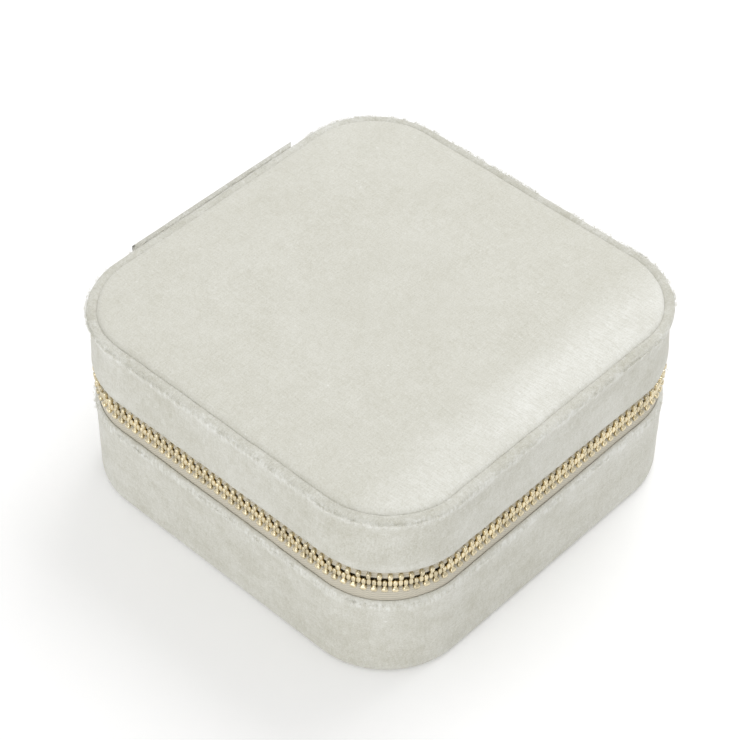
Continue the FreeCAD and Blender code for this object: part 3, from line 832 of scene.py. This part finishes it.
def teeth_row(name, distances, upper, long_leg, bevel, seed):
    """A row of teeth along the outline, each turned to follow it."""
    shape, shape_faces = tooth_mesh(bevel, long_leg)
    rng = random.Random(seed)
    vertices, faces = [], []
    for distance in distances:
        x, y, nx, ny, _ = outline(distance, CHAIN_INSET)
        along = Vector((-ny, nx, 0))
        outward = Vector((nx, ny, 0))
        lift = Vector((0, 0, ZIP_Z + rng.uniform(-0.03, 0.03)))
        tilt = rng.uniform(-0.02, 0.02)
        base = len(vertices)
        for point in shape:
            px, py, pz = point
            px += pz * tilt
            if upper:
                pz, px = -pz, -px
            vertices.append(Vector((x, y, 0)) + along * px + outward * py + lift + Vector((0, 0, pz)))
        faces += [tuple(base + index for index in face) for face in shape_faces]
    obj = new_object(name, vertices, faces)
    work = bmesh.new()
    work.from_mesh(obj.data)
    bmesh.ops.recalc_face_normals(work, faces=work.faces)
    work.to_mesh(obj.data)
    work.free()
    obj.data.set_sharp_from_angle(angle=math.radians(42))
    return obj


def chain_distances(upper):
    """Places of the teeth of one row, split where the slider's straight run begins."""
    start = zip_ends()[0] + STOP_LENGTH
    runs = run_lengths()
    right_start = sum(runs[:6])
    end = right_start + (HALF - CORNER) + CHAIN_STOP_Y
    shift = TOOTH_PITCH / 2 if upper else 0.0
    round_box, right = [], []
    number = 0
    while True:
        distance = end - shift - number * TOOTH_PITCH - LEG_HALF
        if distance - start < LEG_HALF + TOOTH_GAP:
            break
        (right if distance > right_start else round_box).append(distance)
        number += 1
    return round_box, right


class JEWELRYBOX_OT_zip(bpy.types.Operator):
    """Make the zip: woven tapes, two rows of teeth, end stops, slider and pull"""
    bl_idname = "jewelry_box.zip"
    bl_label = "Zip"

    def execute(self, context):
        bevel = settings_of(context).teeth_bevel
        start, end = zip_ends()
        for half, edge, far, body in (("base", 26.7, 14.5, "base"), ("lid", 29.3, 40.0, "lid")):
            section = tape_section(edge, far)
            tape = loft(f"zip_tape_{half}_woven", lambda s: section, stations(1.2, start, end), closed_path=False)
            finish_piece(tape, MATERIALS["tape"], body, "woven_tape", f"zip_tape_{half}")
            upper = half == "lid"
            for suffix, places in zip(("", "_right"), chain_distances(upper)):
                long_leg = upper and not suffix
                row = teeth_row(f"teeth_{half}{suffix}", places, upper, long_leg, bevel, 11)
                finish_piece(row, MATERIALS["gold"], body, "gold_metal", f"zip_teeth_{half}{suffix}")
            stops = bevelled_copy(f"zip_stops_{half}", f"stops_{half}", 0.12)
            finish_piece(stops, MATERIALS["gold"], body, "gold_metal", f"zip_stops_{half}")
        for node, body, width in (("slider_body", "slider", 0.12), ("slider_crown", "slider", 0.22),
                                  ("pull_tab", "pull", 0.2)):
            part = bevelled_copy(node, f"{node}_metal", width, 3)
            finish_piece(part, MATERIALS["gold"], body, "gold_metal", node)
        return {"FINISHED"}


# ---------------------------------------------------------------- hinge

def strip_mesh(name, half_width, y_in, y_out, z_low, z_high, edge, swell, step=1.1):
    """A strip of cloth standing up against the back, with soft edges all round."""
    columns = max(4, round(2 * half_width / step))
    rows = max(4, round((z_high - z_low) / step))
    middle = (y_in + y_out) / 2
    thick = (y_out - y_in) / 2
    vertices = []
    for side in (1, -1):
        for r in range(rows + 1):
            for c in range(columns + 1):
                x = -half_width + 2 * half_width * c / columns
                z = z_low + (z_high - z_low) * r / rows
                near = min(half_width - abs(x), z - z_low, z_high - z)
                share = min(1.0, max(0.0, near / edge))
                round_off = math.sqrt(max(0.0, 1 - (1 - share) ** 2))
                offset = thick * round_off
                if side > 0:
                    offset += swell * ripple(x, 0, z, 9.0, 3.3) * share
                    offset = min(offset, thick)
                vertices.append((x, middle + side * offset, z))
    per_side = (rows + 1) * (columns + 1)
    faces = []
    for side in range(2):
        for face in grid_faces(rows + 1, columns + 1, False, False):
            turned = tuple(side * per_side + index for index in face)
            faces.append(turned if side else tuple(reversed(turned)))
    obj = new_object(name, vertices, faces)
    tidy_mesh(obj, 1e-6)
    return obj


class JEWELRYBOX_OT_hinge(bpy.types.Operator):
    """Make the hinge: the velvet strip on the back and the cloth behind it"""
    bl_idname = "jewelry_box.hinge"
    bl_label = "Cloth Hinge"

    def execute(self, context):
        strip = strip_mesh("hinge_velvet", 24.5, 49.9, 51.9, 9.5, 46.9, 0.9, 0.10)
        lining = strip_mesh("hinge_inner_cloth", 25.5, 48.2, 48.8, 14.5, 40.0, 0.35, 0.02)
        for piece, material, node, slot, low, high in (
                (strip, "band", "hinge_strip", "velvet", 22.6, 33.4),
                (lining, "tape", "hinge_lining", "woven_tape", 22.6, 33.4)):
            piece.data.materials.clear()
            piece.data.materials.append(MATERIALS[material])
            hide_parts(node)
            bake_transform(piece)
        return {"FINISHED"}


# ---------------------------------------------------------------- inside

def base_lining_section(distance):
    x, y, *_ = outline(distance, 6.0)
    wave = 0.06 * ripple(x, y, 20, 8.0, 6.6)
    floor = [(HALF, 3.95), (30.0, 3.95), (LAST_INSET, 3.95), (8.6, 3.95), (7.0, 4.0)]
    wall = [(6.15, 4.35), (5.85, 5.2), (5.8, 9.0), (5.8 - wave, 16.0), (5.8 - wave, 24.0), (5.8, 27.0)]
    lip = [(5.65, 27.55), (5.2, 27.8), (4.4, 27.8), (3.85, 27.7), (3.7, 27.4), (3.7, 27.06)]
    outside = [(5.02, 27.04), (5.04, 16.0), (5.04, 4.0), (5.05, 3.22), (LAST_INSET, 3.21), (HALF, 3.21)]
    return floor + wall + lip + outside


def lid_lining_section(distance):
    x, y, *_ = outline(distance, 6.0)
    wave = 0.06 * ripple(x, y, 35, 8.0, 2.6)
    ceiling = [(HALF, 42.85), (30.0, 42.85), (LAST_INSET, 42.85), (8.6, 42.85), (7.0, 42.8)]
    wall = [(6.15, 42.45), (5.85, 41.6), (5.8, 38.0), (5.8 - wave, 33.0), (5.8, 29.0)]
    lip = [(5.65, 28.45), (5.2, 28.2), (4.4, 28.2), (3.85, 28.3), (3.7, 28.6), (3.7, 28.94)]
    outside = [(5.02, 28.96), (5.04, 36.0), (5.05, 43.58), (LAST_INSET, 43.59), (HALF, 43.59)]
    return ceiling + wall + lip + outside


def soft_card(name, low, high, edge, swell, step=2.0):
    """A card wrapped in velvet: a box with rounded edges and slightly uneven faces."""
    size = [b - a for a, b in zip(low, high)]
    work = bmesh.new()
    bmesh.ops.create_cube(work, size=1.0)
    for vertex in work.verts:
        vertex.co = Vector([low[k] + (vertex.co[k] + 0.5) * size[k] for k in range(3)])
    bmesh.ops.bevel(work, geom=list(work.edges), offset=edge, offset_type="OFFSET", segments=3, profile=0.5,
                    affect="EDGES", clamp_overlap=True)
    for axis in range(3):
        cuts = int(size[axis] / step)
        for k in range(1, cuts):
            place = [0, 0, 0]
            place[axis] = low[axis] + size[axis] * k / cuts
            normal = [0, 0, 0]
            normal[axis] = 1
            geometry = list(work.verts) + list(work.edges) + list(work.faces)
            bmesh.ops.bisect_plane(work, geom=geometry, plane_co=place, plane_no=normal, dist=1e-5)
    mesh = bpy.data.meshes.new(name)
    for vertex in work.verts:
        vertex.co *= MM
    work.to_mesh(mesh)
    work.free()
    obj = bpy.data.objects.new(name, mesh)
    bpy.context.scene.collection.objects.link(obj)
    mesh.shade_smooth()
    roughen(obj, -swell, 6.0, 4.4, lambda x, y, z: 1.0 if z > low[2] + 1 else 0.0)
    return obj


def ring_roll_mesh(number):
    """One roll: a bar with a round top, trimmed to the tray's round corner, its ends softly closed."""
    low, high = ([c / MM for c in corner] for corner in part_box(f"ring_roll_{number}"))
    half = (high[1] - low[1]) / 2 - 0.12
    middle = (high[1] + low[1]) / 2
    shoulder = high[2] - half - 0.15
    section = [(-half + 0.5, low[2]), (-half, low[2] + 0.6)]
    section += [(-half, low[2] + (shoulder - low[2]) * k / 4) for k in (2, 3)]
    angles = [math.pi * k / 14 for k in range(15)]
    section += [(-half * math.cos(angle), shoulder + half * math.sin(angle)) for angle in angles]
    section += [(half, low[2] + (shoulder - low[2]) * k / 4) for k in (3, 2)]
    section += [(half, low[2] + 0.6), (half - 0.5, low[2])]
    section += [(half * k / 4, low[2]) for k in (2, 0, -2)]
    limit = 5.95
    radius = CORNER - limit
    side = HALF - CORNER
    vertices = []
    steps = 26
    for k in range(steps + 1):
        share = k / steps
        x_share = 0.5 - 0.5 * math.cos(math.pi * share)
        round_end = min(1.0, math.sqrt(max(0.0, 1 - (1 - min(1.0, min(share, 1 - share) * 9)) ** 2)) * 0.06 + 0.94)
        for y_off, z in section:
            y = middle + y_off * round_end
            past = abs(y) - side
            reach = side + radius
            if past > 0:
                reach = side + math.sqrt(max(0.0, radius ** 2 - min(past, radius) ** 2))
            left = max(low[0], -reach)
            x = left + (high[0] - left) * x_share
            z_here = low[2] + (z - low[2]) * round_end
            vertices.append((x, y, z_here))
    columns = len(section)
    faces = grid_faces(steps + 1, columns, False, True)
    faces.append(tuple(range(columns)))
    faces.append(tuple(steps * columns + c for c in reversed(range(columns))))
    obj = new_object(f"ring_roll_pad_{number}", vertices, faces)
    tidy_mesh(obj, 1e-6)
    return obj


class JEWELRYBOX_OT_linings(bpy.types.Operator):
    """Make the velvet linings of the base and the lid"""
    bl_idname = "jewelry_box.linings"
    bl_label = "Linings"

    def execute(self, context):
        base = loft("base_lining_velvet", base_lining_section, stations(1.8))
        finish_piece(base, MATERIALS["lining"], "base", "lining_velvet", "base_lining")
        lid = loft("lid_lining_velvet", lid_lining_section, stations(1.8))
        finish_piece(lid, MATERIALS["lining"], "lid", "lining_velvet", "lid_lining")
        return {"FINISHED"}


class JEWELRYBOX_OT_dividers(bpy.types.Operator):
    """Make the partition and the two loose dividers"""
    bl_idname = "jewelry_box.dividers"
    bl_label = "Partition and Dividers"

    def execute(self, context):
        for node, body in (("centre_partition", "base"), ("divider_front", "divider_front"),
                           ("divider_back", "divider_back")):
            low, high = ([c / MM for c in corner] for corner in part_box(node))
            card = soft_card(f"{node}_velvet", low, high, 0.55, 0.05)
            finish_piece(card, MATERIALS["lining"], body, "lining_velvet", node)
        return {"FINISHED"}


class JEWELRYBOX_OT_ring_rolls(bpy.types.Operator):
    """Make the padded ring rolls"""
    bl_idname = "jewelry_box.ring_rolls"
    bl_label = "Ring Rolls"

    def execute(self, context):
        for number in range(1, 7):
            roll = ring_roll_mesh(number)
            finish_piece(roll, MATERIALS["lining"], "base", "lining_velvet", f"ring_roll_{number}")
        return {"FINISHED"}


def window_loop(half, radius, z, marks):
    """The mirror window's outline, with a point for each mark of the case's outline."""
    points = []
    for mark in marks:
        x, y, nx, ny, weight = outline(mark, 12.0)
        side = HALF - CORNER
        if weight > 0 or (abs(x) > side and abs(y) > side):
            cx = math.copysign(half - radius, x)
            cy = math.copysign(half - radius, y)
            points.append((cx + nx * radius, cy + ny * radius, z))
        else:
            scale = (half - radius) / side
            points.append((x * scale if ny else nx * half, y * scale if nx else ny * half, z))
    return points


class JEWELRYBOX_OT_mirror_frame(bpy.types.Operator):
    """Make the velvet-wrapped frame round the mirror"""
    bl_idname = "jewelry_box.mirror_frame"
    bl_label = "Mirror Frame"

    def execute(self, context):
        marks = stations(1.8)
        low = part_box("mirror_frame")[0][2] / MM
        loops = []
        for inset, z in ((6.1, 42.8), (6.05, 41.4), (6.05, low + 0.7), (6.25, low + 0.2), (6.8, low),
                         (9.5, low + 0.02)):
            loops.append([(*outline(mark, inset)[:2], z) for mark in marks])
        for half, z in ((35.5, low + 0.02), (33.9, low), (33.25, low + 0.12), (33.02, low + 0.42),
                        (33.1, low + 0.76),
                        (35.0, low + 0.78)):
            loops.append(window_loop(half, 4.0 + (half - 33.0) * 0.8, z, marks))
        for half, z in ((35.15, 41.2), (35.15, 42.8)):
            loops.append(window_loop(half, 6.1, z, marks))
        columns = len(marks)
        vertices = [point for loop in loops for point in loop]
        obj = new_object("mirror_frame_velvet", vertices, grid_faces(len(loops), columns, True, True))
        tidy_mesh(obj)
        finish_piece(obj, MATERIALS["lining"], "lid", "lining_velvet", "mirror_frame")
        return {"FINISHED"}


# ---------------------------------------------------------------- loose pile on the edges

def edge_place(inset, z, spread, lean_out, lean_up):
    """Roots scattered in tufts along an edge of the case, with a mean lean and some scatter."""
    def place(rng):
        while True:
            distance = rng.uniform(0, LOOP_LENGTH)
            x, y, nx, ny, _ = outline(distance, inset + rng.uniform(-spread, spread))
            tuft = 0.5 + 0.7 * ripple(x, y, z, 2.2, 8.8) + 0.5 * ripple(x, y, z, 14.0, 2.8)
            if rng.random() < tuft:
                break
        outward = Vector((nx, ny, 0))
        along = Vector((-ny, nx, 0))
        lean = outward * (lean_out + rng.uniform(-0.4, 0.4))
        lean += along * (0.5 * ripple(x, y, z, 5.0, 1.1) + rng.uniform(-0.5, 0.5))
        lean += Vector((0, 0, lean_up + rng.uniform(-0.4, 0.4)))
        return Vector((x, y, z + rng.uniform(-spread, spread))), lean
    return place


class JEWELRYBOX_OT_pile(bpy.types.Operator):
    """Make the loose velvet fibres that stand up along the folded edges"""
    bl_idname = "jewelry_box.pile"
    bl_label = "Loose Pile"

    def execute(self, context):
        settings = settings_of(context)
        count = round(settings.fibres_per_mm * LOOP_LENGTH)
        longest = settings.fibre_length
        edges = (
            ("pile_rim_outer", "lid", 0.12, 46.5, 0.22, 0.55, 0.35, count),
            ("pile_rim_top", "lid", 1.0, 47.0, 0.7, -0.2, 0.5, count // 3),
            ("pile_lid_edge", "lid", 0.35, 32.6, 0.5, 0.35, -0.6, count // 3),
            ("pile_base_edge", "base", 0.3, 21.6, 0.3, 0.5, 0.5, count // 2),
        )
        for number, (name, body, inset, z, spread, out, up, many) in enumerate(edges):
            piece = fibres(name, 40 + number, many, edge_place(inset, z, spread, out, up), longest)
            finish_piece(piece, MATERIALS["fibre"], body, "velvet")
        return {"FINISHED"}


# ---------------------------------------------------------------- stage

def area_light(name, place, target, size, power, colour=(1, 1, 1)):
    data = bpy.data.lights.new(name, "AREA")
    data.shape = "RECTANGLE"
    data.size, data.size_y = size
    data.energy = power
    data.color = colour
    lamp = bpy.data.objects.new(name, data)
    bpy.context.scene.collection.objects.link(lamp)
    lamp.location = place
    lamp.rotation_mode = "QUATERNION"
    lamp.rotation_quaternion = (Vector(target) - Vector(place)).to_track_quat("-Z", "Y")


class JEWELRYBOX_OT_stage(bpy.types.Operator):
    """Make the pale floor, the studio light and the camera"""
    bl_idname = "jewelry_box.stage"
    bl_label = "Floor, Light and Camera"

    def execute(self, context):
        scene = context.scene
        size = 1500.0
        floor = new_object("floor", [(-size, -size, 0), (size, -size, 0), (size, size, 0), (-size, size, 0)],
                           [(0, 1, 2, 3)], smooth=False)
        pale = bpy.data.materials.new("Pale floor")
        pale.use_nodes = True
        shader = pale.node_tree.nodes["Principled BSDF"]
        shader.inputs["Base Color"].default_value = (0.93, 0.93, 0.93, 1)
        shader.inputs["Roughness"].default_value = 0.9
        shader.inputs["Specular IOR Level"].default_value = 0.1
        shader.inputs["Emission Color"].default_value = (1, 1, 1, 1)
        shader.inputs["Emission Strength"].default_value = 0.10
        floor.data.materials.append(pale)

        world = bpy.data.worlds.new("Studio")
        world.use_nodes = True
        world.node_tree.nodes["Background"].inputs["Color"].default_value = (1, 1, 1, 1)
        world.node_tree.nodes["Background"].inputs["Strength"].default_value = 0.74
        scene.world = world
        area_light("key", (0.62, 0.10, 0.80), (0, 0, 0.03), (0.7, 0.7), 4.5)
        area_light("fill_left", (-1.15, -0.28, 0.45), (0, 0, 0.03), (1.2, 0.7), 4.3)
        scene.view_settings.view_transform = "Standard"

        azimuth, elevation, roll = (math.radians(a) for a in CAMERA_ANGLES)
        back = Vector((math.sin(azimuth) * math.cos(elevation), -math.cos(azimuth) * math.cos(elevation),
                       math.sin(elevation)))
        right = (-back).cross(Vector((0, 0, 1))).normalized()
        up = right.cross(-back)
        right, up = right * math.cos(roll) + up * math.sin(roll), up * math.cos(roll) - right * math.sin(roll)
        lens = bpy.data.cameras.new("camera")
        lens.sensor_width = 36
        lens.lens = LENS_LENGTH
        lens.shift_x, lens.shift_y = LENS_SHIFT
        lens.clip_start, lens.clip_end = 0.01, 20
        camera = bpy.data.objects.new("camera", lens)
        scene.collection.objects.link(camera)
        turn = Matrix((right, up, back)).transposed().to_4x4()
        camera.matrix_world = Matrix.Translation(Vector(CAMERA_PLACE)) @ turn
        scene.camera = camera
        return {"FINISHED"}


# ---------------------------------------------------------------- add-on

class JEWELRYBOX_PT_panel(bpy.types.Panel):
    """Buttons and settings for the jewelry box"""
    bl_idname = "JEWELRYBOX_PT_panel"
    bl_label = "Jewelry Box"
    bl_space_type = "VIEW_3D"
    bl_region_type = "UI"
    bl_category = "Jewelry Box"

    def draw(self, context):
        settings = settings_of(context)
        for name in JewelryBoxSettings.__annotations__:
            self.layout.prop(settings, name)
        for operator in OPERATORS:
            self.layout.operator(operator.bl_idname)


OPERATORS = (
    JEWELRYBOX_OT_materials,
    JEWELRYBOX_OT_lid_cover,
    JEWELRYBOX_OT_panel,
    JEWELRYBOX_OT_base_cover,
    JEWELRYBOX_OT_zip,
    JEWELRYBOX_OT_hinge,
    JEWELRYBOX_OT_linings,
    JEWELRYBOX_OT_dividers,
    JEWELRYBOX_OT_ring_rolls,
    JEWELRYBOX_OT_mirror_frame,
    JEWELRYBOX_OT_pile,
    JEWELRYBOX_OT_stage,
)
CLASSES = (JewelryBoxSettings, *OPERATORS, JEWELRYBOX_PT_panel)


def register():
    for cls in CLASSES:
        bpy.utils.register_class(cls)
    bpy.types.Scene.jewelry_box = PointerProperty(type=JewelryBoxSettings)


def unregister():
    del bpy.types.Scene.jewelry_box
    for cls in reversed(CLASSES):
        bpy.utils.unregister_class(cls)


def main():
    register()
    steps = bpy.ops.jewelry_box
    for operator in OPERATORS:
        getattr(steps, operator.bl_idname.split(".")[1])()


if __name__ == "__main__":
    main()
